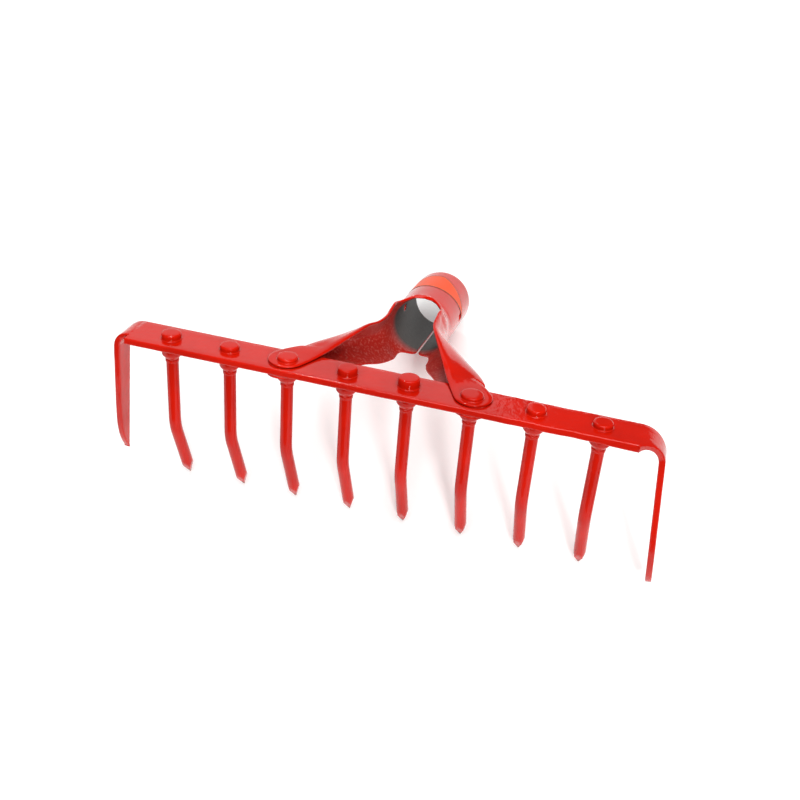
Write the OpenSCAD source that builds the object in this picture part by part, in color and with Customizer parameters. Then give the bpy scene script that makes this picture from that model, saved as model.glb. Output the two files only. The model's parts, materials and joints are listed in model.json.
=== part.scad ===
// Steel rake head: a flat cross bar whose own ends turn down as the two end
// tines, eight round tines headed over in the bar, and a forked sheet socket
// that takes a round wooden handle.
//
// Every module is drawn in the bar's frame: X along the bar, Y from the tine
// row toward the socket, Z up, zero on the bar's top face between the two
// middle tines. rest() then lays the head on its tine tips and the lower rim
// of the socket, with the origin at the centre of the socket's mouth.

/* [Bar] */
// Width of the flat bar
bar_w = 21.5; // [20:0.5:23]
// Thickness of the flat bar
bar_t = 3.2; // [2.8:0.1:3.6]
// Radius on the bar's long edges
bar_edge_r = 0.8; // [0.4:0.1:1.1]
// How far the bar's middle lies behind the tine row
bar_back = 0.7; // [0:0.1:1]
// Half the length over the turned-down ends, where they leave the corner
bar_half = 139.5; // [134:0.5:142]

/* [Round tines] */
// Distance between neighbouring tines
pitch = 31; // [30.5:0.1:31.5]
// Diameter of a tine
tine_d = 6.3; // [6:0.1:6.6]
// Length of the upright stretch below the bar's top face
tine_upright = 46; // [38:1:52]
// Radius of the bend, measured to the tine's middle
tine_bend_r = 28; // [20:1:40]
// How far the lower stretch leans toward the socket
tine_lean = 21.5; // [10:0.5:28]
// Length of the lower stretch, point included
tine_lower = 37; // [30:0.5:44]
// Length of the four-sided point
point_len = 10; // [5:0.5:12]
// Diameter of the collar under the bar
collar_d = 10; // [9:0.1:11]
// Height of the collar, its taper included
collar_h = 7.6; // [5:0.1:9]

/* [End tines] */
// Radius on the outside of the left turned-down corner
left_corner_r = 10; // [8:0.5:13]
// Radius on the outside of the right turned-down corner
right_corner_r = 13; // [8:0.5:13]
// How far the left end tine reaches below the bar's top face
left_reach = 78.5; // [70:0.5:90]
// How far the right end tine reaches below the bar's top face
right_reach = 86; // [70:0.5:90]
// How far the left end tine leans outward
left_splay = 4; // [0:0.1:6]
// How far the right end tine leans outward
right_splay = 5.4; // [0:0.1:6]
// Length of the curved, knife-like tip
tip_len = 24; // [18:1:30]

/* [Socket] */
// Outside diameter of the rolled socket
socket_d = 34; // [33.5:0.1:34.5]
// Thickness of the socket's sheet
sheet_t = 1.5; // [1.3:0.1:1.6]
// Distance from the tine row to the mouth
mouth_y = 134.2; // [125:0.1:145]
// How far the socket slopes down from the bar
socket_fall = 5.8; // [5.6:0.1:6]
// Width of the open seam under the socket
seam_w = 0.8; // [0.4:0.1:1.2]
// Diameter of the cross hole for the handle's nail
nail_hole_d = 3.4; // [2.5:0.1:5]
// Distance of the nail hole from the mouth
nail_hole_in = 26.4; // [20:0.1:30]
// Width of the round-ended opening between the arms, on top
top_gap_w = 24.4; // [23:0.2:25]
// Width of the round-ended opening between the arms, underneath
low_gap_w = 19; // [18:0.2:20]
// Radius of the lugs' round ends
lug_r = 9.6; // [9:0.1:10.5]

/* [Label] */
// Thickness of the label
label_t = 0.2; // [0.1:0.05:0.4]
// Distance from the mouth to the label's nearer edge
label_in = 9; // [6:0.5:12]
// Width of the label on the crown of the socket
label_w = 22; // [18:1:24]

/* [Hidden] */
$fn = 64;
red = "#c8201a";
orange = "#f0561e";

TINE_NAMES = ["tine_1", "tine_2", "tine_3", "tine_4", "tine_5", "tine_6", "tine_7", "tine_8"];

// Each head was hammered by hand, so each has its own diameter and height.
HEADS = [[9.8, 3.3], [9.6, 3], [10.6, 2], [9.8, 3.9], [10.6, 4.6], [11, 2], [9.5, 3.2], [9.5, 2.7]];
// How far each tine's bend is turned from square with the bar, in degrees
TURNS = [0, 3, 2, 3, 0, 1, 3, 4];
// Tines 3 and 6, counted from zero here, also hold the socket's lugs.
LUG_TINES = [2, 5];
function is_lug(i) = len(search(i, LUG_TINES)) > 0;
function tine_x(i) = (i - (len(TINE_NAMES) - 1) / 2) * pitch;
lug_x = tine_x(LUG_TINES[1]);

hole_d = tine_d;
shank_d = tine_d - 0.04;
collar_taper_h = 2.2;
neck_d = tine_d + 0.6;
neck_h = 1.8;
head_chamfer = 0.4;

socket_r = socket_d / 2;
bore_r = socket_r - sheet_t;
mouth_z = -13.7;
// Height of the socket's axis at a distance y from the tine row
function axis_z(y) = mouth_z + (mouth_y - y) * tan(socket_fall);

// The head rests on the tine tips and on the lowest point of the mouth.
tip_y = tine_bend_r * (1 - cos(tine_lean)) + tine_lower * sin(tine_lean);
tip_z = -(tine_upright + tine_bend_r * sin(tine_lean) + tine_lower * cos(tine_lean));
rim_y = mouth_y - socket_r * sin(socket_fall);
rim_z = mouth_z - socket_r * cos(socket_fall);
rest_tilt = atan2(rim_z - tip_z, rim_y - tip_y);

module rest() {
    rotate([-rest_tilt, 0, 0]) translate([0, -mouth_y, -mouth_z]) children();
}

module along_socket() {
    translate([0, mouth_y, mouth_z]) rotate([90 - socket_fall, 0, 0]) children();
}

// ---------- bar ----------

// Flat strip section with round edges, its width along 2D x and thickness along y
module strip_section(w, t, r) {
    translate([-w / 2 + r, -t]) square([w - 2 * r, t]);
    translate([-w / 2, -t + r]) square([w, t - 2 * r]);
    for (sx = [-1, 1]) {
        for (y = [-r, -t + r]) translate([sx * (w / 2 - r), y]) circle(r = r);
    }
}

module turned_section(corner_r) {
    translate([corner_r, 0]) rotate(-90) translate([bar_back, 0]) strip_section(bar_w, bar_t, bar_edge_r);
}

// Turned-down end on the right: the corner and the leg, trimmed to the end tine's outline
module turned_end(reach, corner_r, splay, front) {
    intersection() {
        translate([bar_half - corner_r, 0, -corner_r]) {
            rotate([90, 0, 0]) rotate([0, 0, splay]) rotate_extrude(angle = 90 - splay)
                turned_section(corner_r);
            rotate([0, -splay, 0]) translate([0, 0, -reach]) linear_extrude(reach)
                turned_section(corner_r);
        }
        translate([bar_half - corner_r, 0, 0]) rotate([90, 0, 90]) linear_extrude(3 * corner_r)
            end_outline(reach, front);
    }
}

// Side view of an end tine: nearly straight back edge, front edge as listed
// from the top down, then curving to the tip
module end_outline(reach, front) {
    back = 8.2;
    belly = front[len(front) - 1][0];
    tip = [for (a = [0:10:90]) [
        back - (back - belly) * cos(a),
        -reach + tip_len * (1 - sin(a))
    ]];
    shoulder = [[back + 0.5, -16], [bar_w / 2, -4], [bar_w, -3]];
    polygon(concat([[bar_w, 1]], front, tip, shoulder));
}

// The left end is cut in square at the corner, the right one runs in gradually.
LEFT_FRONT = [[-4, 1], [-3.8, -12], [-1.4, -50]];
RIGHT_FRONT = [[-8, 1], [-7.5, -0.2], [-5, -1.2], [-3, -4], [-1.6, -9], [-2.6, -28], [-3.4, -50]];

module rake_bar() {
    color(red) rest() difference() {
        union() {
            translate([left_corner_r - bar_half, bar_back, 0]) rotate([90, 0, 90])
                linear_extrude(2 * bar_half - left_corner_r - right_corner_r)
                    strip_section(bar_w, bar_t, bar_edge_r);
            turned_end(right_reach, right_corner_r, right_splay, RIGHT_FRONT);
            mirror([1, 0, 0]) turned_end(left_reach, left_corner_r, left_splay, LEFT_FRONT);
        }
        for (i = [0:len(TINE_NAMES) - 1])
            translate([tine_x(i), 0, -bar_t - 1]) cylinder(d = hole_d, h = bar_t + 2);
    }
}

// ---------- round tines ----------

// Lower stretch, its end cut by four flats that meet in a point. It is a hair
// thinner than the bend and starts just inside it.
module pointed_stretch() {
    flat_angle = atan2(tine_d / 2, point_len);
    spare = 2 * tine_d;
    overlap = 0.3;
    difference() {
        translate([0, 0, -tine_lower - 1]) cylinder(d = tine_d - 0.02, h = tine_lower + 1 + overlap);
        for (a = [0:90:270]) {
            rotate([0, 0, a]) translate([0, 0, -tine_lower]) rotate([0, flat_angle, 0])
                translate([0, -spare / 2, -spare]) cube([spare, spare, 2 * spare]);
        }
    }
}

module tine(i) {
    lift = is_lug(i) ? sheet_t : 0;
    under = -bar_t - lift;
    top_d = HEADS[i][0];
    top_h = HEADS[i][1];
    color(red) rest() translate([tine_x(i), 0, 0]) rotate([0, 0, -TURNS[i]]) {
        // head with a slight chamfer
        translate([0, 0, lift]) cylinder(d = top_d, h = top_h - head_chamfer);
        translate([0, 0, lift + top_h - head_chamfer])
            cylinder(d1 = top_d, d2 = top_d - 2 * head_chamfer, h = head_chamfer);
        // shank through the bar and any lugs
        translate([0, 0, under]) cylinder(d = shank_d, h = lift - under);
        // upset collar, its taper and the neck under the bar
        translate([0, 0, collar_taper_h - collar_h - bar_t])
            cylinder(d = collar_d, h = collar_h - collar_taper_h - (under < -bar_t ? sheet_t : 0));
        translate([0, 0, -bar_t - collar_h]) cylinder(d1 = neck_d, d2 = collar_d, h = collar_taper_h);
        translate([0, 0, -bar_t - collar_h - neck_h]) cylinder(d = neck_d, h = neck_h);
        translate([0, 0, -tine_upright]) cylinder(d = tine_d, h = tine_upright + under);
        // bend toward the socket, then the pointed stretch
        translate([0, tine_bend_r, -tine_upright]) {
            rotate([90, 0, 90]) rotate([0, 0, 180]) rotate_extrude(angle = tine_lean)
                translate([tine_bend_r, 0]) circle(d = tine_d);
            rotate([tine_lean, 0, 0]) translate([0, -tine_bend_r, 0]) pointed_stretch();
        }
    }
}

// ---------- forked socket ----------

// The inner edge of each arm runs straight from the opening to its lug.
arm_angle = 25;
function edge_x(y) = 12 + (54 - y) * tan(arm_angle);

// Where the round ends of the two openings stop short of the tube
top_gap_end = 86.4;
low_gap_end = 79;
top_round = top_gap_w / 2;
low_round = low_gap_w / 2;
function gap_x(y, round, end) =
    y >= end ? 0 : y > end - round ? sqrt(pow(round, 2) - pow(y - end + round, 2)) : round;
function top_x(y) = max(0, gap_x(y, top_round, top_gap_end), edge_x(y));
function low_x(y) = max(seam_w / 2, gap_x(y, low_round, low_gap_end), edge_x(y));

// An arm is a pressed channel, open toward the other arm. Each row says where
// its sheet runs at one distance from the tine row: [y, x of its back, top
// edge's z, slope there, bottom edge's z, slope there, squareness].
top_z = sheet_t;
low_z = -bar_t - sheet_t;
ARM = [
    [96, socket_r, 8.2, 20, -25.5, 10, 0.55],
    [86, socket_r, 8.3, 30, -25, 20, 0.56],
    [74, socket_r + 0.5, 8.3, 46, -24, 32, 0.58],
    [68, socket_r + 1.8, 8.3, 52, -23.6, 36, 0.58],
    [60, socket_r + 5.4, 8.3, 50, -22.2, 32, 0.58],
    [50, socket_r + 11.8, 8.1, 34, -19.6, 22, 0.58],
    [36, socket_r + 22, 6, 17, -15, 12, 0.6],
    [28, socket_r + 27.6, 4.5, 10, -11.5, 8, 0.64],
    [20, socket_r + 31.8, 2.8, 4, -8, 4, 0.7],
    [10, socket_r + 35.5, top_z, 0, low_z, 0, 0.75]
];
last_row = len(ARM) - 1;

// Smooth curve through the rows
function row_slope(i) = let (a = ARM[max(i - 1, 0)], b = ARM[min(i + 1, last_row)]) (b - a) / (b[0] - a[0]);
function row_above(y, i = 0) = i >= last_row - 1 || y >= ARM[i + 1][0] ? i : row_above(y, i + 1);
function arm_row(y) =
    let (i = row_above(y), h = ARM[i + 1][0] - ARM[i][0], t = (y - ARM[i][0]) / h)
    (2 * t * t * t - 3 * t * t + 1) * ARM[i] + (t * t * t - 2 * t * t + t) * h * row_slope(i)
    + (3 * t * t - 2 * t * t * t) * ARM[i + 1] + (t * t * t - t * t) * h * row_slope(i + 1);

// A free edge [x, z, slope] leaves the tube's circle where its opening starts
// and is on the arm's own rows a round end further on.
function ease(t) = let (c = max(0, min(1, t))) c * c * (3 - 2 * c);
function free_edge(y, x, up, arm_z, arm_slope, end, round) =
    let (r = socket_r, t = ease((end - y) / round))
    [x, (axis_z(y) + up * sqrt(r * r - min(x, r) * min(x, r))) * (1 - t) + arm_z * t,
     asin(min(1, x / r)) * (1 - t) + arm_slope * t];

// The sheet's faces: quarter curves from each free edge to the back. The
// first rows are sunk just inside the tube's wall.
arm_steps = 8;
sunk = 0.1;
function sink(y) = sunk * (1 - ease((88 - y) / 6));
function quarter(edge, up, back, mid_z, k, inset) =
    let (
        a = [edge[0] - inset * sin(edge[2]), edge[1] - up * inset * cos(edge[2])],
        b = [back - inset, mid_z],
        q = [b[0], a[1] - up * (b[0] - a[0]) * tan(edge[2])],
        c = a + k * (q - a), d = b + k * (q - b)
    )
    [for (j = [0:arm_steps]) let (t = j / arm_steps, u = 1 - t)
        u * u * u * a + 3 * u * u * t * c + 3 * u * t * t * d + t * t * t * b];
function face_points(y, inset) =
    let (
        r = arm_row(y),
        on_tube = ease((y - 78) / 8),
        back = r[1] * (1 - on_tube) + socket_r * on_tube,
        top = free_edge(y, top_x(y), 1, r[2], r[3], top_gap_end, top_round),
        low = free_edge(y, low_x(y), -1, r[4], r[5], low_gap_end, low_round),
        mid_z = ((r[2] + r[4]) / 2) * (1 - on_tube) + axis_z(y) * on_tube,
        upper = quarter(top, 1, back, mid_z, r[6], inset),
        lower = quarter(low, -1, back, mid_z, r[6], inset)
    )
    [for (p = concat(upper, [for (j = [arm_steps - 1:-1:0]) lower[j]])) [p[0], y, p[1]]];
function section_points(y) =
    let (
        outer = face_points(y, sink(y)),
        inner = face_points(y, sheet_t - 2 * sink(y)),
        last = 2 * arm_steps
    )
    concat(outer, [for (k = [last:-1:0]) inner[k]]);

ARM_YS = concat(
    [96, 90],
    [for (a = [0:15:90]) top_gap_end - top_round * (1 - cos(a))],
    [for (y = [70:-4:10]) y]
);

module arm_shell() {
    face = 2 * arm_steps;
    ring = 2 * (face + 1);
    rows = len(ARM_YS);
    points = [for (y = ARM_YS) each section_points(y)];
    sides = [for (j = [0:rows - 2]) for (k = [0:ring - 1])
        let (a = j * ring + k, b = j * ring + (k + 1) % ring, c = b + ring, d = a + ring)
        each [[a, b, c], [a, c, d]]];
    end_a = [for (k = [0:face - 1]) each
        [[k, ring - 1 - k, k + 1], [k + 1, ring - 1 - k, ring - 2 - k]]];
    base = (rows - 1) * ring;
    end_b = [for (k = [0:face - 1]) each
        [[base + k, base + k + 1, base + ring - 1 - k],
         [base + k + 1, base + ring - 2 - k, base + ring - 1 - k]]];
    polyhedron(points, concat(sides, end_a, end_b));
}

// Flat lug outline: a round end with two straight edges drawn out to the arm
lug_centre = [lug_x + 0.5, 1.8];
lug_back_angle = 39.4;
function on_lug(angle) = lug_centre + lug_r * [cos(angle), sin(angle)];
function lug_back_x(y) = on_lug(lug_back_angle)[0] - (y - on_lug(lug_back_angle)[1]) * tan(lug_back_angle);
lug_root_y = 14;

module lug_outline() {
    translate(lug_centre) circle(r = lug_r);
    polygon([
        lug_centre,
        on_lug(180 + arm_angle),
        [edge_x(lug_root_y), lug_root_y],
        [lug_back_x(lug_root_y), lug_root_y],
        on_lug(lug_back_angle)
    ]);
}

// Relief where the fold behind the bar ends and the two lugs part
relief_y = 18;
module fold_relief() {
    translate([0, 0, -20]) linear_extrude(40) polygon([
        [lug_back_x(relief_y), relief_y],
        [lug_back_x(0), 0],
        [80, 0],
        [80, relief_y]
    ]);
}

module arm() {
    difference() {
        arm_shell();
        fold_relief();
    }
    linear_extrude(sheet_t) lug_outline();
    translate([0, 0, low_z]) linear_extrude(sheet_t) lug_outline();
}

module socket_fork() {
    tube_l = mouth_y - top_gap_end + 1.6;
    color(red) rest() difference() {
        union() {
            along_socket() difference() {
                cylinder(r = socket_r, h = tube_l);
                translate([0, 0, -1]) cylinder(r = bore_r, h = tube_l + 2);
                translate([-seam_w / 2, -socket_r - 1, -1]) cube([seam_w, socket_r, tube_l + 2]);
                translate([0, 0, nail_hole_in]) rotate([0, 90, 0])
                    cylinder(d = nail_hole_d, h = 2 * socket_d, center = true);
            }
            arm();
            mirror([1, 0, 0]) arm();
        }
        for (sx = [-1, 1]) {
            translate([sx * lug_x, 0, -2 * bar_t]) cylinder(d = hole_d, h = 4 * bar_t);
        }
    }
}

// ---------- label ----------

module socket_label() {
    wrap = socket_r + label_t;
    near_slant = 29;
    point_slant = 40;
    point_x = 2;
    big = 4 * socket_d;
    color(orange) rest() along_socket() difference() {
        cylinder(r = wrap, h = 2 * socket_d);
        translate([0, 0, -1]) cylinder(r = socket_r, h = 2 * socket_d + 2);
        // edge toward the mouth, slanting in to a point on the right
        translate([-big / 2, -big / 2, -1]) cube([big, big, label_in + 1]);
        translate([point_x, 0, label_in]) rotate([0, -point_slant, 0])
            translate([0, -big / 2, -big]) cube([big, big, big]);
        // edge toward the arms, highest on the crown
        translate([0, wrap, label_in + label_w]) rotate([near_slant, 0, 0])
            translate([-big / 2, -big / 2, 0]) cube([big, big, big]);
        // nothing past the seam underneath
        translate([0, -big, -1]) cube([big, big, big]);
    }
}

rake_bar();
tine(0);  // tine_1
tine(1);  // tine_2
tine(2);  // tine_3
tine(3);  // tine_4
tine(4);  // tine_5
tine(5);  // tine_6
tine(6);  // tine_7
tine(7);  // tine_8
socket_fork();
socket_label();
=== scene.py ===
import json
import math

import bpy
from mathutils import Matrix, Vector, noise


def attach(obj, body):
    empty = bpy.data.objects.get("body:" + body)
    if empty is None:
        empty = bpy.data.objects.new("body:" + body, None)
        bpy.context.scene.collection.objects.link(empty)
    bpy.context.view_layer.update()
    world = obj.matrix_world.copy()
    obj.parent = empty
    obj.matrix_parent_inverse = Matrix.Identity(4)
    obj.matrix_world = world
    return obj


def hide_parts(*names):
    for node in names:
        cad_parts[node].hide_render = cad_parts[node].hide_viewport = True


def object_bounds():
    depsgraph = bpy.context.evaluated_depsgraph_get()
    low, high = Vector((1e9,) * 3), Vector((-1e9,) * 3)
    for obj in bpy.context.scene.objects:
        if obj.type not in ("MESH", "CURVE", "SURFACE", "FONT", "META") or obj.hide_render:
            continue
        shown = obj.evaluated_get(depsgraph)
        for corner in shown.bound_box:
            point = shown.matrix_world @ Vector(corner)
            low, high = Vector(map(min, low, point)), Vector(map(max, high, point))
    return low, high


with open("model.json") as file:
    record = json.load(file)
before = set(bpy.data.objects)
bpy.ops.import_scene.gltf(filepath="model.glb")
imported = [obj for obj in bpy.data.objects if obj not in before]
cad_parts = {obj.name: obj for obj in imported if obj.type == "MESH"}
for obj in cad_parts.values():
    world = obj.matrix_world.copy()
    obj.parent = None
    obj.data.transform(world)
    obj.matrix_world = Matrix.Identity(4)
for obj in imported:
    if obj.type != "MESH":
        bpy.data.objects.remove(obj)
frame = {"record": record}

CAD_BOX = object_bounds()
MM = 0.001

# ---------------------------------------------------------------- dimensions
# All lengths are in millimetres in the bar's frame: X along the bar, Y from
# the tine row toward the socket, Z up, zero on the bar's top face.

BAR_T = 3.2
BAR_FRONT = -10.05
BAR_EDGE_R = 0.75
TIP_LEN = 24.0

# How far the hand-made surface of the strip wanders, and by how much more
# between RUCK_FROM and RUCK_TO along the bar
RIPPLE = 0.07
RUCK = 0.2
RUCK_FROM, RUCK_TO = 52, 112

TINE_PITCH = 31.0
TINE_R = 3.15
TINE_SIDES = 48
TINE_UPRIGHT = 46.0
TINE_BEND_R = 28.0
TINE_LEAN = math.radians(21.5)
TINE_LOWER = 37.0
POINT_LEN = 11.0
COLLAR_R = 5.25
LUG_TINES = (2, 5)

# Each tine's head (radius, height, shift back), its own shift along the bar
# and how far its bend is turned toward +X, in degrees
TINES = [
    (4.85, 3.3, 0.0, 0.0, 0),
    (4.75, 3.0, 0.2, 0.6, 3),
    (5.2, 2.0, 0.0, 0.4, 2),
    (4.9, 3.9, 0.3, 0.2, 3),
    (5.2, 4.7, 1.0, 0.0, 0),
    (5.4, 2.0, 0.0, 0.3, 1),
    (4.7, 3.2, 0.0, 0.0, 3),
    (4.7, 2.7, 0.2, 0.3, 4),
]

# Rings of each point, from its tip, that have lost their paint
WORN_RINGS = 3

SOCKET_R = 17.0
SHEET_T = 1.5
SEAM_W = 0.8
SOCKET_FALL = math.radians(5.8)
MOUTH = Vector((0, 134.2, -13.7))

ARM_ANGLE = math.radians(25)
TOP_GAP = (24.4, 86.4)
LOW_GAP = (19.0, 79.0)
LUG_CENTRE = Vector((47, 1.8))
LUG_R = 9.6
LUG_BACK_ANGLE = math.radians(39.4)
RELIEF_Y = 18.0
LOWER_LUG_FORWARD = 2.6
NAIL_HOLE_Y = 107.8
NAIL_HOLE_R = 1.8

# The left arm is pressed a little flatter than the right one: how far its
# back is moved in and its top edge down
LEFT_BACK_IN = 3.2
LEFT_TOP_DOWN = 2.0

# Where the line of an arm's inner edge starts, x and y
INNER_EDGE = (12, 54)
# Rounding of the corner where that line meets the side of the gap
GAP_ROUNDING = 6
# How far an arm's upper edge stands up, point by point from the edge inward
LIP = (0.55, 0.7, 0.15)

LABEL_LIFT = 0.12
# Where the label starts and ends round the socket, from the top, in degrees
LABEL_FROM, LABEL_TO = -115, 96

# The bar's frame laid on its tine tips, as the CAD model is
socket_out = Vector(frame["record"]["mounts"][0]["axis"])
REST_TILT = math.atan2(-socket_out.z, socket_out.y) - SOCKET_FALL
TO_ROW = Matrix.Scale(MM, 4) @ Matrix.Rotation(-REST_TILT, 4, "X") @ Matrix.Translation(-MOUTH)


# ---------------------------------------------------------------- mesh tools

def make_piece(name, points, faces, materials, sharp=35, node=None):
    """A smooth-shaded mesh from points in the bar's frame."""
    mesh = bpy.data.meshes.new(name)
    mesh.from_pydata([TO_ROW @ Vector(p) for p in points], [], faces)
    mesh.validate()
    mesh.update()
    for polygon in mesh.polygons:
        polygon.use_smooth = True
    if sharp:
        mesh.set_sharp_from_angle(angle=math.radians(sharp))
    for material in materials:
        mesh.materials.append(material)
    piece = bpy.data.objects.new(name, mesh)
    bpy.context.scene.collection.objects.link(piece)
    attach(piece, "root")
    if node:
        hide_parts(node)
    return piece


def loft(rings):
    """Points and faces of a closed skin through rings of equal length, capped at both ends."""
    count = len(rings[0])
    points = [p for ring in rings for p in ring]
    faces = []
    for j in range(len(rings) - 1):
        for k in range(count):
            a, b = j * count + k, j * count + (k + 1) % count
            faces.append((a, b, b + count, a + count))
    faces.append(tuple(reversed(range(count))))
    faces.append(tuple(range(len(points) - count, len(points))))
    return points, faces


def arc(start, end, steps):
    return [start + (end - start) * k / steps for k in range(steps + 1)]


def along(points, x):
    """Value at x on the line through (x, value) points."""
    for (x0, v0), (x1, v1) in zip(points, points[1:]):
        if x <= x1:
            return v0 + (v1 - v0) * max(0.0, x - x0) / (x1 - x0)
    return points[-1][1]


def ease(t):
    t = min(1.0, max(0.0, t))
    return t * t * (3 - 2 * t)


# ---------------------------------------------------------------- materials

def new_material(name, roughness):
    material = bpy.data.materials.new(name)
    material.use_nodes = True
    nodes = material.node_tree.nodes
    shader = nodes["Principled BSDF"]
    shader.inputs["Roughness"].default_value = roughness
    return material, material.node_tree, shader


def noise_node(nodes, scale, detail):
    node = nodes.new("ShaderNodeTexNoise")
    node.inputs["Scale"].default_value = scale
    node.inputs["Detail"].default_value = detail
    return node


def ramp_node(nodes, *stops):
    """A colour ramp through two (position, colour) stops."""
    node = nodes.new("ShaderNodeValToRGB")
    for element, (position, colour) in zip(node.color_ramp.elements, stops):
        element.position = position
        element.color = (*colour, 1)
    return node


def bump_node(nodes, strength, distance):
    node = nodes.new("ShaderNodeBump")
    node.inputs["Strength"].default_value = strength
    node.inputs["Distance"].default_value = distance
    return node


RED = (0.60, 0.009, 0.0018)
RED_DARK = (0.50, 0.007, 0.0014)
# near-black red that enamel() mixes into corners and crevices as painted shade
RED_CORNER_SHADE = (0.09, 0.002, 0.001)


def enamel(name, colour, dark, gloss, peel, roughness=0.12):
    """Glossy sprayed enamel: slight tone changes, an orange-peel surface and painted shade in corners."""
    material, tree, shader = new_material(name, roughness)
    shader.inputs["Specular IOR Level"].default_value = gloss
    nodes, links = tree.nodes, tree.links
    coords = nodes.new("ShaderNodeTexCoord")
    tone = noise_node(nodes, 35, 3)
    ramp = ramp_node(nodes, (0.35, dark), (0.6, colour))
    skin = noise_node(nodes, 420, 2)
    bump = bump_node(nodes, peel, 0.0003)
    links.new(coords.outputs["Object"], tone.inputs["Vector"])
    links.new(tone.outputs["Fac"], ramp.inputs["Fac"])
    # painted shade: ambient occlusion darkens the base colour toward a near-black red in corners and
    # crevices, standing in for the shade there
    crevice = nodes.new("ShaderNodeAmbientOcclusion")
    crevice.samples = 8
    crevice.inputs["Distance"].default_value = 0.006
    shade_amount = nodes.new("ShaderNodeMapRange")
    shade_amount.inputs["From Min"].default_value = 0.15
    shade_amount.inputs["From Max"].default_value = 0.85
    shade_amount.inputs["To Min"].default_value = 0.25
    corner_shade_mix = nodes.new("ShaderNodeMix")
    corner_shade_mix.data_type = "RGBA"
    corner_shade_mix.inputs["A"].default_value = (*RED_CORNER_SHADE, 1)
    links.new(crevice.outputs["AO"], shade_amount.inputs["Value"])
    links.new(shade_amount.outputs["Result"], corner_shade_mix.inputs["Factor"])
    links.new(ramp.outputs["Color"], corner_shade_mix.inputs["B"])
    links.new(corner_shade_mix.outputs["Result"], shader.inputs["Base Color"])
    links.new(coords.outputs["Object"], skin.inputs["Vector"])
    links.new(skin.outputs["Fac"], bump.inputs["Height"])
    links.new(bump.outputs["Normal"], shader.inputs["Normal"])
    return material


bar_paint = enamel("bar_paint", RED, RED_DARK, 0.34, 0.4, 0.1)
tine_paint = enamel("tine_paint", RED, RED_DARK, 0.2, 0.12)
socket_paint = enamel("socket_paint", RED, RED_DARK, 0.2, 0.2, 0.09)


def worn_steel():
    """Bare, browned steel where the paint has gone from the points."""
    material, tree, shader = new_material("worn_steel", 0.4)
    nodes, links = tree.nodes, tree.links
    coords = nodes.new("ShaderNodeTexCoord")
    rust = noise_node(nodes, 500, 4)
    ramp = ramp_node(nodes, (0.4, (0.30, 0.03, 0.015)), (0.6, (0.40, 0.17, 0.11)))
    links.new(coords.outputs["Object"], rust.inputs["Vector"])
    links.new(rust.outputs["Fac"], ramp.inputs["Fac"])
    links.new(ramp.outputs["Color"], shader.inputs["Base Color"])
    return material


tip_steel = worn_steel()


def socket_inside():
    """Inside of the sheet: bare dark steel in the tube, red overspray toward the arms, with pale flecks
    that are painted glints.
    """
    material, tree, shader = new_material("socket_inside", 0.5)
    nodes, links = tree.nodes, tree.links
    coords = nodes.new("ShaderNodeTexCoord")
    depth = nodes.new("ShaderNodeVectorMath")
    depth.operation = "DOT_PRODUCT"
    depth.inputs[1].default_value = -socket_out
    spread = nodes.new("ShaderNodeMapRange")
    spread.inputs["From Min"].default_value = 0.047
    spread.inputs["From Max"].default_value = 0.054
    speckle = noise_node(nodes, 750, 4)
    steel = ramp_node(nodes, (0, (0.028, 0.022, 0.02)), (1, (0.075, 0.06, 0.052)))
    mix = nodes.new("ShaderNodeMix")
    mix.data_type = "RGBA"
    # red overspray; the ramp's pale pink end stands in for glints, a painted highlight
    overspray_and_glints = ramp_node(nodes, (0.5, (0.44, 0.011, 0.004)), (0.8, (0.60, 0.16, 0.13)))
    bump = bump_node(nodes, 0.5, 0.0002)
    links.new(coords.outputs["Object"], depth.inputs[0])
    links.new(depth.outputs["Value"], spread.inputs["Value"])
    links.new(coords.outputs["Object"], speckle.inputs["Vector"])
    links.new(speckle.outputs["Fac"], steel.inputs["Fac"])
    links.new(spread.outputs["Result"], mix.inputs["Factor"])
    links.new(speckle.outputs["Fac"], overspray_and_glints.inputs["Fac"])
    links.new(steel.outputs["Color"], mix.inputs["A"])
    links.new(overspray_and_glints.outputs["Color"], mix.inputs["B"])
    links.new(mix.outputs["Result"], shader.inputs["Base Color"])
    links.new(speckle.outputs["Fac"], bump.inputs["Height"])
    links.new(bump.outputs["Normal"], shader.inputs["Normal"])
    return material


def label_print():
    """Orange label with a dark line along its two long edges; its UV map holds distances to them."""
    material, tree, shader = new_material("label", 0.45)
    shader.inputs["Specular IOR Level"].default_value = 0.2
    nodes, links = tree.nodes, tree.links
    uv = nodes.new("ShaderNodeUVMap")
    uv.uv_map = "edge_mm"
    split = nodes.new("ShaderNodeSeparateXYZ")
    nearest = nodes.new("ShaderNodeMath")
    nearest.operation = "MINIMUM"
    # the ramp's 0 to 1 stands for 0 to 10 mm from the nearest edge
    ramp = ramp_node(nodes, (0, (0.10, 0.05, 0.03)), (0.06, (0.85, 0.07, 0.004)))
    ramp.color_ramp.interpolation = "CONSTANT"
    scale = nodes.new("ShaderNodeMath")
    scale.operation = "MULTIPLY"
    scale.inputs[1].default_value = 0.1
    links.new(uv.outputs["UV"], split.inputs["Vector"])
    links.new(split.outputs["X"], nearest.inputs[0])
    links.new(split.outputs["Y"], nearest.inputs[1])
    links.new(nearest.outputs["Value"], scale.inputs[0])
    links.new(scale.outputs["Value"], ramp.inputs["Fac"])
    links.new(ramp.outputs["Color"], shader.inputs["Base Color"])
    return material


# ---------------------------------------------------------------- bar

# Back edge of the straight stretch, and how far drips hang from its front edge
BAR_BACK = [(-140, 12.3), (-65, 12.2), (0, 11.7), (59, 11.2), (83, 10.8), (140, 10.7)]
BAR_DRIP = [(-140, 0.2), (40, 0.2), (70, 0.45), (104, 0.4), (116, 0.8), (122, 1.0), (128, 1.0)]


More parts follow.
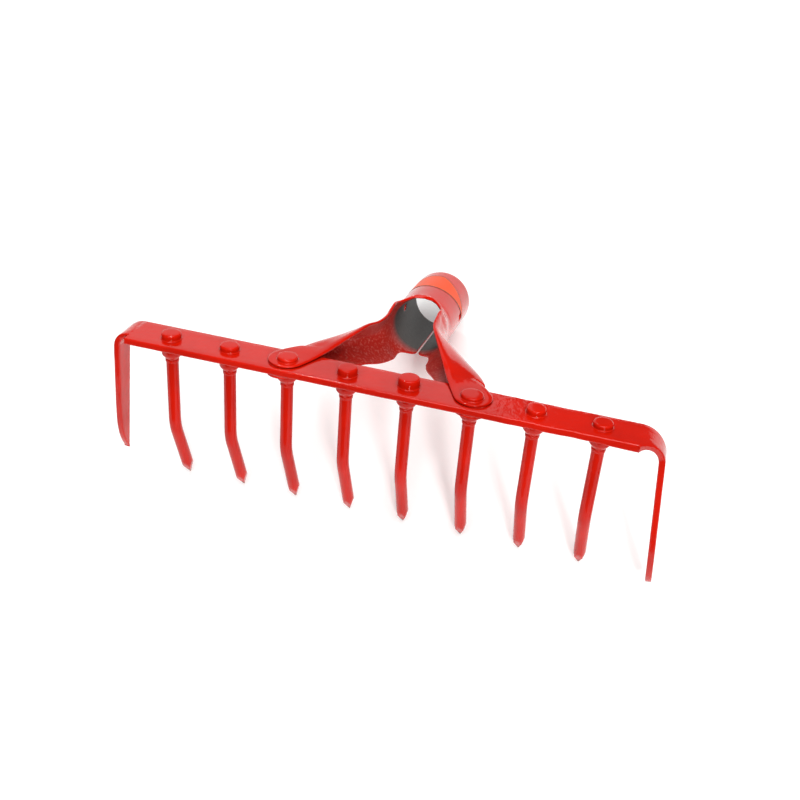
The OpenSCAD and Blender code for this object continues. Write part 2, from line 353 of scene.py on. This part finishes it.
class End:
    """A turned-down end: corner, outward lean and, by depth, its front and back edges."""

    def __init__(self, half, corner_r, splay, reach, front, back):
        self.half, self.corner_r, self.reach = half, corner_r, reach
        self.splay = math.radians(splay)
        self.front, self.back = front, back

    def start_x(self):
        return self.half - self.corner_r


LEFT_END = End(
    139.5, 10.0, 4.0, 78.5,
    [(0, -4.9), (0.7, -4.5), (3, -4.1), (11, -3.8), (14, -3.8), (21, -3.3), (29, -3.0), (37, -2.4),
     (44, -2.1), (52, -1.4), (57, -0.9), (61, 0.0), (65, 1.1), (68, 2.2), (71, 3.6), (74, 5.4),
     (76, 6.7), (77.4, 7.6)],
    [(0, 12.3), (0.5, 12.0), (2, 11.0), (5, 9.5), (9, 8.6), (14, 8.2)],
)
RIGHT_END = End(
    140.0, 14.0, 5.6, 86.0,
    [(0, -10.1), (0.03, -10.4), (0.12, -9.4), (0.25, -8.5), (0.8, -6.7), (1.9, -5.1), (4, -3.6), (7, -2.4),
     (10, -1.9), (28, -2.6), (50, -3.3), (62, -3.8)],
    [(0, 10.7), (2, 10.3), (6, 9.3), (10, 8.6), (16, 8.2)],
)


def strip_ring(centre, normal, front, back, drip=0.0):
    """One section across the bar: a flat strip from y=front to y=back with round edges."""
    half = BAR_T / 2
    width = back - front
    r = min(BAR_EDGE_R, width / 2.2)
    outline = []
    for cy, cz, first in ((back - r, half - r, 0), (front + r, half - r, 90),
                          (front + r, r - half, 180), (back - r, r - half, 270)):
        for a in arc(first, first + 90, 4):
            outline.append((cy + r * math.cos(math.radians(a)), cz + r * math.sin(math.radians(a))))
        if first in (90, 270):
            continue
        last = outline[-1][0]
        other = front + r if first == 0 else back - r
        outline += [(last + (other - last) * t, outline[-1][1]) for t in (0.15, 0.32, 0.5, 0.68, 0.85)]
    ring = []
    for y, out in outline:
        to_edge = (y - front) / width
        if out < 0:
            out -= drip * max(0.0, 1 - 4 * to_edge)
        wavy = RIPPLE + RUCK * ease((centre[0] - RUCK_FROM) / 15) * ease((RUCK_TO - centre[0]) / 15)
        ripple = wavy * noise.noise(Vector((centre[0] / 6, y / 4, centre[1] / 8)))
        outward = Vector((normal[0], 0, normal[1]))
        ring.append(Vector((centre[0], y, centre[1])) + (out + ripple) * outward)
    return ring


def end_front(end, depth):
    """Front edge of an end tine at a depth below the bar's top face."""
    last_depth, last_front = end.front[-1]
    if depth <= last_depth:
        return along(end.front, depth)
    t = min(1.0, (depth - last_depth) / (end.reach - last_depth))
    back = end.back[-1][1]
    return back - (back - last_front) * math.sqrt(max(0.0, 1 - t * t))


def end_rings(end):
    """Sections from the start of a corner on the right down to the tip."""
    rings = []
    mid_r = end.corner_r - BAR_T / 2
    for a in arc(math.pi / 2, end.splay, 22):
        normal = (math.cos(a), math.sin(a))
        centre = (end.start_x() + mid_r * normal[0], -end.corner_r + mid_r * normal[1])
        depth = end.corner_r - end.corner_r * normal[1]
        drip = along([(0, 0.9), (0.2, 0.2), (1, 0.0)], depth) if end is RIGHT_END else 0.0
        rings.append(strip_ring(centre, normal, end_front(end, depth), along(end.back, depth), drip))
    normal = (math.cos(end.splay), math.sin(end.splay))
    down = (math.sin(end.splay), -math.cos(end.splay))
    start = (end.start_x() + mid_r * normal[0], -end.corner_r + mid_r * normal[1])
    straight = end.reach - TIP_LEN - end.corner_r
    steps = [straight * k / 10 for k in range(1, 11)]
    steps += [straight + TIP_LEN * math.sin(math.radians(a))
              for a in (10, 20, 30, 40, 50, 60, 68, 75, 81, 86)]
    for d in steps:
        centre = (start[0] + d * down[0], start[1] + d * down[1])
        depth = -centre[1]
        back = along(end.back, depth)
        rings.append(strip_ring(centre, normal, min(end_front(end, depth), back - 0.7), back))
    return rings


def mirrored(rings):
    """The same sections on the left, in the order that keeps the skin facing out."""
    return [[Vector((-p.x, p.y, p.z)) for p in ring] for ring in rings]


def build_bar():
    right = end_rings(RIGHT_END)
    left = mirrored(end_rings(LEFT_END))
    first, last = -LEFT_END.start_x(), RIGHT_END.start_x()
    xs = [first + 0.02] + arc(first + 2, last - 1, 90) + [last - 0.02]
    straight = [strip_ring((x, -BAR_T / 2), (0, 1), BAR_FRONT, along(BAR_BACK, x), along(BAR_DRIP, x))
                for x in xs]
    points, faces = loft(list(reversed(left)) + straight + right)
    return make_piece("bar", points, faces, [bar_paint], 40, "rake_bar")


# ---------------------------------------------------------------- round tines

def tine_rings(i):
    """Sections of one tine from the middle of its head to its point."""
    head_r, head_h, head_back, shift, turn = TINES[i]
    lift = SHEET_T if i in LUG_TINES else 0
    under = -BAR_T - lift
    top = lift + head_h
    head = [
        (top + 0.06, 0.15 * head_r), (top + 0.05, 0.5 * head_r), (top, head_r - 1.0),
        (top - 0.06, head_r - 0.62), (top - 0.2, head_r - 0.3), (top - 0.42, head_r - 0.1),
        (top - 0.7, head_r), (lift + 0.5 * head_h, head_r + 0.1),
        (lift + 0.7, head_r + 0.03), (lift + 0.35, head_r + 0.12),
        (lift + 0.15, head_r + 0.3), (lift + 0.03, head_r + 0.55),
    ]
    body = [
        (lift - 0.3, TINE_R), (under + 0.3, TINE_R),
        (under + 0.02, COLLAR_R - 0.4), (under - 0.15, COLLAR_R - 0.1), (under - 0.5, COLLAR_R),
        (-8.2, COLLAR_R - 0.05), (-8.7, COLLAR_R - 0.25), (-9.6, 4.35), (-10.5, 3.65), (-11, 3.35),
        (-11.2, 3.3), (-11.45, 3.5), (-12.5, 3.5), (-12.8, 3.4), (-13.1, TINE_R),
    ]
    body += [(z, TINE_R) for z in arc(-15, -TINE_UPRIGHT, 8)]
    rings = []
    angles = [2 * math.pi * k / TINE_SIDES for k in range(TINE_SIDES)]
    for j, (z, r) in enumerate(head + body):
        back, lumps = (head_back, 0.018) if j < len(head) else (0, 0.0)
        ring = []
        for a in angles:
            bump = 1 + lumps * (math.sin(2 * a + 1.7 * i) + 0.6 * math.sin(3 * a + 2.3 * i))
            ring.append(Vector((r * bump * math.cos(a), r * bump * math.sin(a) + back, z)))
        rings.append(ring)
    centre = Vector((0, TINE_BEND_R, -TINE_UPRIGHT))
    for lean in arc(0, TINE_LEAN, 10)[1:]:
        spin = Matrix.Rotation(lean, 3, "X")
        rings.append([
            centre + spin @ Vector((TINE_R * math.cos(a), TINE_R * math.sin(a) - TINE_BEND_R, 0))
            for a in angles
        ])
    spin = Matrix.Rotation(TINE_LEAN, 3, "X")
    flat = TINE_R / POINT_LEN
    from_tips = [TINE_LOWER * t for t in (0.8, 0.65, 0.5)]
    from_tips += [POINT_LEN * t for t in (1.42, 1.36, 1.28, 1.2, 1.12, 1.06, 1.0,
                                          0.85, 0.65, 0.45, 0.28, 0.14)]
    from_tips += [0.5, 0.12]
    for from_tip in from_tips:
        ring = []
        for a in angles:
            square = (from_tip + 0.35) * flat / max(abs(math.cos(a)), abs(math.sin(a)))
            r = min(TINE_R, square)
            across = r * math.sin(a) - TINE_BEND_R
            ring.append(centre + spin @ Vector((r * math.cos(a), across, from_tip - TINE_LOWER)))
        rings.append(ring)
    place = Matrix.Rotation(-math.radians(turn), 3, "Z")
    along_bar = Vector(((i - 3.5) * TINE_PITCH + shift, 0, 0))
    return [[along_bar + place @ p for p in ring] for ring in rings]


def build_tine(i):
    rings = tine_rings(i)
    points, faces = loft(rings)
    piece = make_piece(f"round_tine_{i + 1}", points, [tuple(reversed(f)) for f in faces],
                       [tine_paint, tip_steel], 38, f"tine_{i + 1}")
    first_worn = (len(rings) - 1 - WORN_RINGS) * len(rings[0])
    for polygon in piece.data.polygons:
        if polygon.index >= first_worn and len(polygon.vertices) == 4:
            polygon.material_index = 1
    return piece


# ---------------------------------------------------------------- forked socket

# Sections across an arm, outer face: y, x of the back, top edge's z, slope
# there, bottom edge's z, slope there, squareness
ARM = [
    (96, 17.0, 8.2, 20, -25.5, 10, 0.55),
    (86, 17.0, 8.3, 30, -25.0, 20, 0.56),
    (80, 17.1, 8.3, 40, -24.6, 28, 0.56),
    (74, 17.5, 8.3, 46, -24.0, 32, 0.58),
    (68, 18.8, 8.3, 56, -23.6, 36, 0.58),
    (61.5, 22.3, 8.35, 53, -22.4, 34, 0.58),
    (55.8, 26.2, 8.3, 45, -21.2, 30, 0.58),
    (50, 29.8, 8.1, 34, -19.6, 22, 0.58),
    (43, 34.9, 7.2, 25, -17.0, 17, 0.58),
    (36, 40.0, 6.0, 17, -15.0, 12, 0.60),
    (30, 44.0, 4.9, 11, -12.3, 8, 0.62),
    (24, 47.6, 3.7, 6, -9.8, 5, 0.66),
    (18, 50.0, 2.4, 3, -7.0, 3, 0.72),
    (10, 52.5, 1.5, 0, -4.7, 0, 0.75),
]
# Steps from a free edge to the middle of the back, and how many of them
# flatten out into a lug
QUARTER = 12
FLANGE = 6


def arm_row(y):
    """The section at y, on a smooth curve through the rows of ARM."""
    i = max(k for k in range(len(ARM) - 1) if k == 0 or y <= ARM[k][0])

    def slope(k, c):
        a, b = ARM[max(k - 1, 0)], ARM[min(k + 1, len(ARM) - 1)]
        return (b[c] - a[c]) / (b[0] - a[0])

    h = ARM[i + 1][0] - ARM[i][0]
    t = min(1.0, max(0.0, (y - ARM[i][0]) / h))
    return [
        (2 * t**3 - 3 * t**2 + 1) * ARM[i][c] + (t**3 - 2 * t**2 + t) * h * slope(i, c)
        + (3 * t**2 - 2 * t**3) * ARM[i + 1][c] + (t**3 - t**2) * h * slope(i + 1, c)
        for c in range(7)
    ]


def edge_x(y):
    """Inner edge of an arm beyond the gap."""
    x, start = INNER_EDGE
    return x + (start - y) * math.tan(ARM_ANGLE)


def gap_x(y, gap):
    """Half the width at y of the gap between the arms, which ends in a half circle."""
    width, end = gap
    if y >= end:
        return 0.0
    if y > end - width / 2:
        return math.sqrt((width / 2) ** 2 - (y - end + width / 2) ** 2)
    return width / 2


def soft_max(a, b):
    return (a + b + math.sqrt((a - b) ** 2 + GAP_ROUNDING)) / 2


def axis_z(y):
    """Height of the socket's axis."""
    return MOUTH.z + (MOUTH.y - y) * math.tan(SOCKET_FALL)


def free_edge(y, x, up, arm_z, arm_slope, gap):
    """An edge (x, z, slope) that leaves the tube's circle where its opening starts."""
    t = ease((gap[1] - y) / (0.65 * gap[0]))
    z = axis_z(y) + up * math.sqrt(max(0.0, SOCKET_R**2 - min(x, SOCKET_R)**2))
    slope = math.asin(min(1.0, x / SOCKET_R)) * (1 - t) + math.radians(arm_slope) * t
    return x, z * (1 - t) + arm_z * t, slope


def quarter(edge, up, back, mid_z, square):
    """Middle of the sheet from a free edge to the back."""
    inset = SHEET_T / 2
    x, z, slope = edge
    a = Vector((x - inset * math.sin(slope), z - up * inset * math.cos(slope)))
    b = Vector((back - inset, mid_z))
    q = Vector((b.x, a.y - up * (b.x - a.x) * math.tan(slope)))
    c, d = a.lerp(q, square), b.lerp(q, square)
    points = []
    for k, t in enumerate(arc(0, 1, QUARTER)):
        point = (1 - t)**3 * a + 3 * (1 - t)**2 * t * c + 3 * (1 - t) * t * t * d + t**3 * b
        if up > 0 and k < len(LIP):
            point += Vector((math.sin(slope), math.cos(slope))) * LIP[k]
        points.append(point)
    return points


def section(y, side):
    """Points on the middle of the sheet, from the top edge round the back to the bottom edge."""
    top_x = soft_max(gap_x(y, TOP_GAP), edge_x(y)) if y < 68 else gap_x(y, TOP_GAP)
    low_x = soft_max(gap_x(y, LOW_GAP), edge_x(y)) if y < 64 else max(SEAM_W / 2, gap_x(y, LOW_GAP))
    if y >= TOP_GAP[1]:
        r = SOCKET_R - SHEET_T / 2
        seam = math.asin(SEAM_W / 2 / r)
        square_cut = ease((y - TOP_GAP[1]) / 25) * math.tan(SOCKET_FALL)
        return [
            Vector((r * math.sin(a), y + square_cut * r * math.cos(a), axis_z(y) + r * math.cos(a)))
            for a in arc(0, math.pi - seam, 2 * QUARTER)
        ]
    _, back, top_z, top_slope, low_z, low_slope, square = arm_row(y)
    if side < 0:
        back -= LEFT_BACK_IN * ease((62 - y) / 26)
        top_z -= LEFT_TOP_DOWN * ease((y - 42) / 9) * ease((70 - y) / 9)
    on_tube = ease((y - 78) / 8)
    mid_z = (top_z + low_z) / 2 * (1 - on_tube) + axis_z(y) * on_tube
    upper = quarter(free_edge(y, top_x, 1, top_z, top_slope, TOP_GAP), 1, back, mid_z, square)
    lower = quarter(free_edge(y, low_x, -1, low_z, low_slope, LOW_GAP), -1, back, mid_z, square)
    return [Vector((p.x, y, p.y)) for p in upper + list(reversed(lower))[1:]]


def lug_rows(root, z, forward=0.0):
    """Rows across a flat lug, from the arm's end row "root" to the round tip."""
    sweep = (math.pi + ARM_ANGLE + 2 * math.pi - LUG_BACK_ANGLE) % (2 * math.pi)
    turn = (2 * math.pi - sweep) / 2

    def on_end(angle):
        return LUG_CENTRE - Vector((0, forward)) + LUG_R * Vector((math.cos(angle), math.sin(angle)))

    root_y = RELIEF_Y - 0.8
    inner_root = Vector((edge_x(root_y), root_y))
    outer_end = on_end(LUG_BACK_ANGLE)
    outer_root = Vector((outer_end.x - (root_y - outer_end.y) * math.tan(LUG_BACK_ANGLE), root_y))
    inner_end = on_end(math.pi + ARM_ANGLE)
    pairs = [(inner_root.lerp(inner_end, t), outer_root.lerp(outer_end, t)) for t in arc(0, 1, 6)]
    for t in (0.12, 0.24, 0.36, 0.48, 0.6, 0.72, 0.83, 0.92, 0.97):
        pairs.append((on_end(math.pi + ARM_ANGLE + turn * t), on_end(LUG_BACK_ANGLE - turn * t)))
    rows = []
    for j, (inner, outer) in enumerate(pairs):
        settle = ease((j + 1) / 5)
        row = []
        for k, from_root in enumerate(root):
            flat = inner.lerp(outer, k / (len(root) - 1))
            row.append(Vector((flat.x, flat.y, from_root.z + (z - from_root.z) * settle)))
        rows.append(row)
    return rows


def build_fork():
    tube_ys = [134.2, 131, 126, 119, NAIL_HOLE_Y + 4.4, NAIL_HOLE_Y, NAIL_HOLE_Y - 4.4, 98, 91]
    round_ys = [TOP_GAP[1] - TOP_GAP[0] / 2 * (1 - math.cos(math.radians(a))) for a in arc(0, 90, 8)]
    arm_ys = arc(72, RELIEF_Y, 27)
    points, faces = [], []

    def add_grid(grid, flip, first_row=None, open_cells=()):
        """Adds rows of points; first_row gives indices to reuse as the row before them."""
        previous = first_row
        for j, row in enumerate(grid):
            indices = list(range(len(points), len(points) + len(row)))
            points.extend(row)
            if previous is not None:
                for k in range(len(row) - 1):
                    if (j, k) in open_cells:
                        continue
                    quad = (previous[k], previous[k + 1], indices[k + 1], indices[k])
                    faces.append(tuple(reversed(quad)) if flip else quad)
            previous = indices
        return previous

    def add_nail_hole(base, j, flip):
        """Fills the open cells round row j with a ring of quads that leaves a round hole."""
        def at(row, k):
            return base + row * (2 * QUARTER + 1) + k

        first, last = QUARTER - 2, QUARTER + 2
        rim = [at(j - 1, k) for k in range(first, last + 1)] + [at(j, last)]
        rim += [at(j + 1, k) for k in range(last, first - 1, -1)] + [at(j, first)]
        centre = points[at(j, QUARTER)]
        start = len(points)
        for i in rim:
            away = points[i] - centre
            y, z = Vector((away.y, away.z)).normalized() * NAIL_HOLE_R
            points.append(centre + Vector((-math.copysign(z * z / 2 / SOCKET_R, centre.x), y, z)))
        for i in range(len(rim)):
            n = (i + 1) % len(rim)
            quad = (rim[i], rim[n], start + n, start + i)
            faces.append(tuple(reversed(quad)) if flip else quad)

    hole_row = tube_ys.index(NAIL_HOLE_Y)
    open_cells = {(j, k) for j in (hole_row, hole_row + 1) for k in range(QUARTER - 2, QUARTER + 2)}

    for side in (1, -1):
        rows = [section(y, side) for y in tube_ys + round_ys + arm_ys]

        def place(grid):
            return [[Vector((side * p.x, p.y, p.z)) for p in row] for row in grid]

        flip = side > 0
        base = len(points)
        last = add_grid(place(rows), flip, None, open_cells)
        add_nail_hole(base, hole_row, flip)
        top_root, low_root = rows[-1][:FLANGE + 1], rows[-1][-FLANGE - 1:]
        add_grid(place(lug_rows(top_root, SHEET_T / 2)), flip, last[:FLANGE + 1])
        low_rows = lug_rows(list(reversed(low_root)), -BAR_T - SHEET_T / 2, LOWER_LUG_FORWARD)
        add_grid(place([list(reversed(row)) for row in low_rows]), flip, last[-FLANGE - 1:])

    used = sorted({i for face in faces for i in face})
    new_index = {i: n for n, i in enumerate(used)}
    points = [points[i] for i in used]
    faces = [tuple(new_index[i] for i in face) for face in faces]
    piece = make_piece("fork", points, faces, [socket_paint, socket_inside()], None,
                       "socket_fork")
    weld = piece.modifiers.new("weld", "WELD")
    weld.merge_threshold = 0.02 * MM
    sheet = piece.modifiers.new("sheet", "SOLIDIFY")
    sheet.thickness = SHEET_T * MM
    sheet.offset = 0
    sheet.use_even_offset = True
    sheet.material_offset = 1
    smooth = piece.modifiers.new("smooth", "SUBSURF")
    smooth.levels = smooth.render_levels = 2
    return piece


# ---------------------------------------------------------------- label

def build_label():
    """A sheet wrapped round the socket, its two long edges slanting toward a point on the right."""
    radius = SOCKET_R + LABEL_LIFT
    columns, rows = 60, 8
    points, uvs, faces = [], [], []
    axis = Vector((0, -math.cos(SOCKET_FALL), math.sin(SOCKET_FALL)))
    up = Vector((0, math.sin(SOCKET_FALL), math.cos(SOCKET_FALL)))
    for phi in arc(math.radians(LABEL_FROM), math.radians(LABEL_TO), columns):
        x = radius * math.sin(phi)
        inner = 22 + 9.4 * math.cos(phi - math.radians(12)) if phi > math.radians(-78) else 22
        outer = 9.5 + 0.83 * (x - 2) if x > 2 and abs(phi) < math.pi / 2 else 9.5 + 1.2 * math.sin(phi)
        if phi >= math.pi / 2:
            outer = 9.5 + 0.83 * (radius - 2)
        outer = min(outer, inner - 0.5)
        for k in range(rows + 1):
            s = outer + (inner - outer) * k / rows
            points.append(MOUTH + s * axis + Vector((x, 0, 0)) + radius * math.cos(phi) * up)
            uvs.append((inner - s, s - outer))
    for j in range(columns):
        for k in range(rows):
            a = j * (rows + 1) + k
            faces.append((a, a + 1, a + rows + 2, a + rows + 1))
    piece = make_piece("label_wrap", points, faces, [label_print()], None, "socket_label")
    layer = piece.data.uv_layers.new(name="edge_mm")
    for loop in piece.data.loops:
        layer.data[loop.index].uv = uvs[loop.vertex_index]
    return piece


# ---------------------------------------------------------------- stage

def build_stage():
    floor_z = CAD_BOX[0][2]
    near, far, left, right = -0.42, 0.6, -0.6, 0.4
    mesh = bpy.data.meshes.new("floor")
    corners = [(left, near), (right, near), (right, far), (left, far)]
    mesh.from_pydata([(x, y, floor_z) for x, y in corners], [], [(0, 1, 2, 3)])
    floor = bpy.data.objects.new("floor", mesh)
    material, _, shader = new_material("floor_paper", 0.9)
    shader.inputs["Base Color"].default_value = (0.86, 0.86, 0.85, 1)
    shader.inputs["Emission Color"].default_value = (1, 1, 1, 1)
    shader.inputs["Emission Strength"].default_value = 0.22
    mesh.materials.append(material)
    bpy.context.scene.collection.objects.link(floor)


def area_light(name, direction, distance, size, power, target, colour=(1, 1, 1)):
    data = bpy.data.lights.new(name, "AREA")
    data.shape = "RECTANGLE"
    data.size, data.size_y = size
    data.energy = power
    data.color = colour
    light = bpy.data.objects.new(name, data)
    away = Vector(direction).normalized()
    light.location = target + away * distance
    light.rotation_euler = away.to_track_quat("Z", "Y").to_euler()
    bpy.context.scene.collection.objects.link(light)


def build_light():
    target = Vector((0, -0.1, 0.03))
    area_light("overhead", (0.15, 0.0, 1), 1.6, (1.7, 1.3), 28, target)
    area_light("backdrop", (-0.6, 1, 0.2), 2.2, (2.2, 1.2), 7, target)
    area_light("key", (0.55, -0.9, 0.9), 1.4, (0.2, 0.2), 9, target)
    area_light("glint", (-0.35, 0.9, 0.75), 1.5, (0.12, 0.12), 4, target)
    world = bpy.data.worlds.new("studio")
    world.use_nodes = True
    background = world.node_tree.nodes["Background"]
    background.inputs["Color"].default_value = (1, 1, 1, 1)
    background.inputs["Strength"].default_value = 0.12
    bpy.context.scene.world = world
    bpy.context.scene.view_settings.view_transform = "Standard"


def build_camera():
    """The photograph's view: high on the right of the tines, a little rolled."""
    azimuth, elevation, roll = math.radians(21.49), math.radians(56.19), math.radians(-6.33)
    target = Vector((0.0081, -0.1068, 0.05))
    distance = 0.5154
    data = bpy.data.cameras.new("camera")
    data.sensor_width = 36
    data.lens = 46.19
    data.clip_start = 0.01
    camera = bpy.data.objects.new("camera", data)
    away = Vector((math.sin(azimuth) * math.cos(elevation),
                   -math.cos(azimuth) * math.cos(elevation), math.sin(elevation)))
    camera.location = target + distance * away
    upright = away.to_track_quat("Z", "Y").to_matrix()
    camera.rotation_euler = (upright @ Matrix.Rotation(roll, 3, "Z")).to_euler()
    bpy.context.scene.collection.objects.link(camera)
    bpy.context.scene.camera = camera


build_bar()
for index in range(len(TINES)):
    build_tine(index)
build_fork()
build_label()
build_stage()
build_light()
build_camera()
